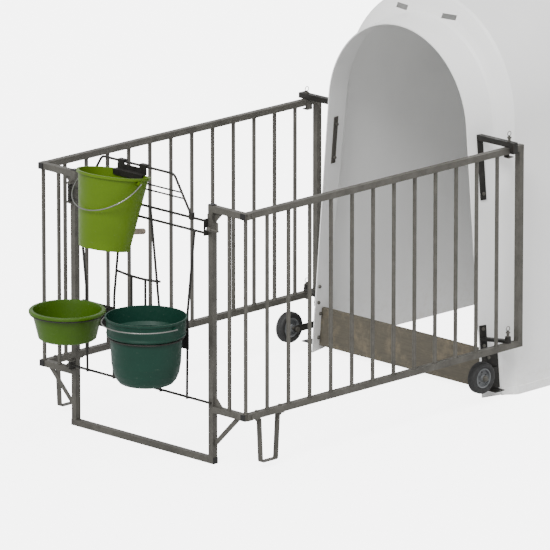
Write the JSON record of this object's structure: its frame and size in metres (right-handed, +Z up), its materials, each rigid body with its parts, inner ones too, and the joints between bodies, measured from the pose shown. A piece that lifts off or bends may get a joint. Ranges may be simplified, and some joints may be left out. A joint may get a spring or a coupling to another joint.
{
  "type": "calf hutch",
  "caption": "Arched white calf hutch with a railed steel pen in front, a hinged feed gate that carries pail, bucket and bowl, and tipping wheels.",
  "frame": {"origin": "on the ground under the middle of the pen's front ground bar", "axes": "+Z up, +Y from the pen's front to the back of the hutch, +X to the right seen from the front"},
  "size_m": [1.194, 3.3015, 1.555],
  "materials": {
    "galvanised_steel": "hot-dip galvanised, dull grey",
    "gate_rod": "dark weathered rod",
    "dark_steel": "dark weathered plate",
    "zinc_wire": "zinc-plated wire",
    "white_shell": "glass-fibre with white gel coat",
    "board": "weathered board",
    "black_plastic": "matt",
    "lime_plastic": "satin",
    "green_plastic": "satin",
    "dark_green_plastic": "satin",
    "tyre_rubber": "matt",
    "grey_hub": "satin",
    "teat_rubber": "matt"
  },
  "bodies": {
    "hutch": {"hutch_shell": "white_shell", "threshold_board": "board", "board_angles": "dark_steel", "left_hanger": "dark_steel", "right_hanger": "dark_steel", "backing_strips": "galvanised_steel", "lower_lugs": "dark_steel", "wheel_brackets": "dark_steel", "wheel_axles": "galvanised_steel", "axle_nuts_washers": "galvanised_steel", "shell_bolts_nuts": "galvanised_steel", "upper_hinge_pin": "galvanised_steel", "lower_hinge_pin": "galvanised_steel"},
    "upper_lock": {"upper_lock_pin": "galvanised_steel"},
    "lower_lock": {"lower_lock_pin": "galvanised_steel"},
    "left_wheel": {"left_tyre": "tyre_rubber", "left_hub": "grey_hub"},
    "right_wheel": {"right_tyre": "tyre_rubber", "right_hub": "grey_hub"},
    "fence": {"left_top_rail": "galvanised_steel", "right_top_rail": "galvanised_steel", "left_bottom_rail": "galvanised_steel", "right_bottom_rail": "galvanised_steel", "left_side_bars": "galvanised_steel", "right_side_bars": "galvanised_steel", "rear_posts": "galvanised_steel", "front_posts": "galvanised_steel", "ground_bar": "galvanised_steel", "wing_rails": "galvanised_steel", "wing_bars": "galvanised_steel", "wing_gussets": "galvanised_steel", "wing_braces": "galvanised_steel", "tube_plugs": "black_plastic", "corner_tabs": "galvanised_steel", "u_legs": "galvanised_steel", "fence_bolts_nuts": "galvanised_steel", "pin_keepers": "galvanised_steel", "gate_lugs": "galvanised_steel", "gate_pins": "galvanised_steel", "latch_guide": "galvanised_steel"},
    "latch": {"latch_bolt": "galvanised_steel"},
    "gate": {"gate_cross_rods": "gate_rod", "gate_knuckles_keeper": "gate_rod", "gate_loop": "gate_rod", "gate_loop_rods": "gate_rod", "gate_loop_clasps": "gate_rod", "gate_neck_rods": "gate_rod", "gate_outer_rods": "gate_rod", "gate_neck_bar_struts": "gate_rod", "bucket_holder_ring": "gate_rod", "bowl_holder_ring": "gate_rod", "holder_plates": "gate_rod"},
    "pail": {"milk_pail": "lime_plastic", "pail_hook": "dark_steel", "pail_teat": "teat_rubber"},
    "pail_bail": {"pail_bail": "zinc_wire"},
    "bucket": {"drinking_bucket": "dark_green_plastic"},
    "bucket_bail": {"bucket_bail": "zinc_wire"},
    "bowl": {"feed_bowl": "green_plastic"}
  },
  "joints": [
    {"name": "fence_swing", "type": "hinge", "parent": "hutch", "child": "fence", "pos_m": [-0.5625, 1.468, 0.5], "axis": [0, 0, 1], "range_deg": [-80, 0]},
    {"name": "gate_swing", "type": "hinge", "parent": "fence", "child": "gate", "pos_m": [-0.383, -0.027, 0.6], "axis": [0, 0, 1], "range_deg": [-90, 0]},
    {"name": "latch_slide", "type": "slide", "parent": "fence", "child": "latch", "axis": [1, 0, 0], "range_m": [-0.027, 0]},
    {"name": "upper_lock_slide", "type": "slide", "parent": "hutch", "child": "upper_lock", "axis": [0, 0, 1], "range_m": [-0.014, 0]},
    {"name": "lower_lock_slide", "type": "slide", "parent": "hutch", "child": "lower_lock", "axis": [0, 0, 1], "range_m": [-0.014, 0]},
    {"name": "pail_lift", "type": "slide", "parent": "gate", "child": "pail", "axis": [0, 0, 1], "range_m": [0, 0.03]},
    {"name": "bowl_lift", "type": "slide", "parent": "gate", "child": "bowl", "axis": [0, 0, 1], "range_m": [0, 0.15]},
    {"name": "bucket_lift", "type": "slide", "parent": "gate", "child": "bucket", "axis": [0, 0, 1], "range_m": [0, 0.12]},
    {"name": "pail_bail_swing", "type": "hinge", "parent": "pail", "child": "pail_bail", "pos_m": [-0.025, -0.137, 1.094], "axis": [-1, 0, 0], "range_deg": [0, 123]},
    {"name": "bucket_bail_swing", "type": "hinge", "parent": "bucket", "child": "bucket_bail", "pos_m": [0.228, -0.208, 0.58], "axis": [-1, 0, 0], "range_deg": [0, 91]},
    {"name": "left_wheel_spin", "type": "hinge", "parent": "hutch", "child": "left_wheel", "pos_m": [-0.537, 1.342, 0.109], "axis": [1, 0, 0], "continuous": true},
    {"name": "right_wheel_spin", "type": "hinge", "parent": "hutch", "child": "right_wheel", "pos_m": [0.537, 1.342, 0.109], "axis": [1, 0, 0], "continuous": true}
  ]
}
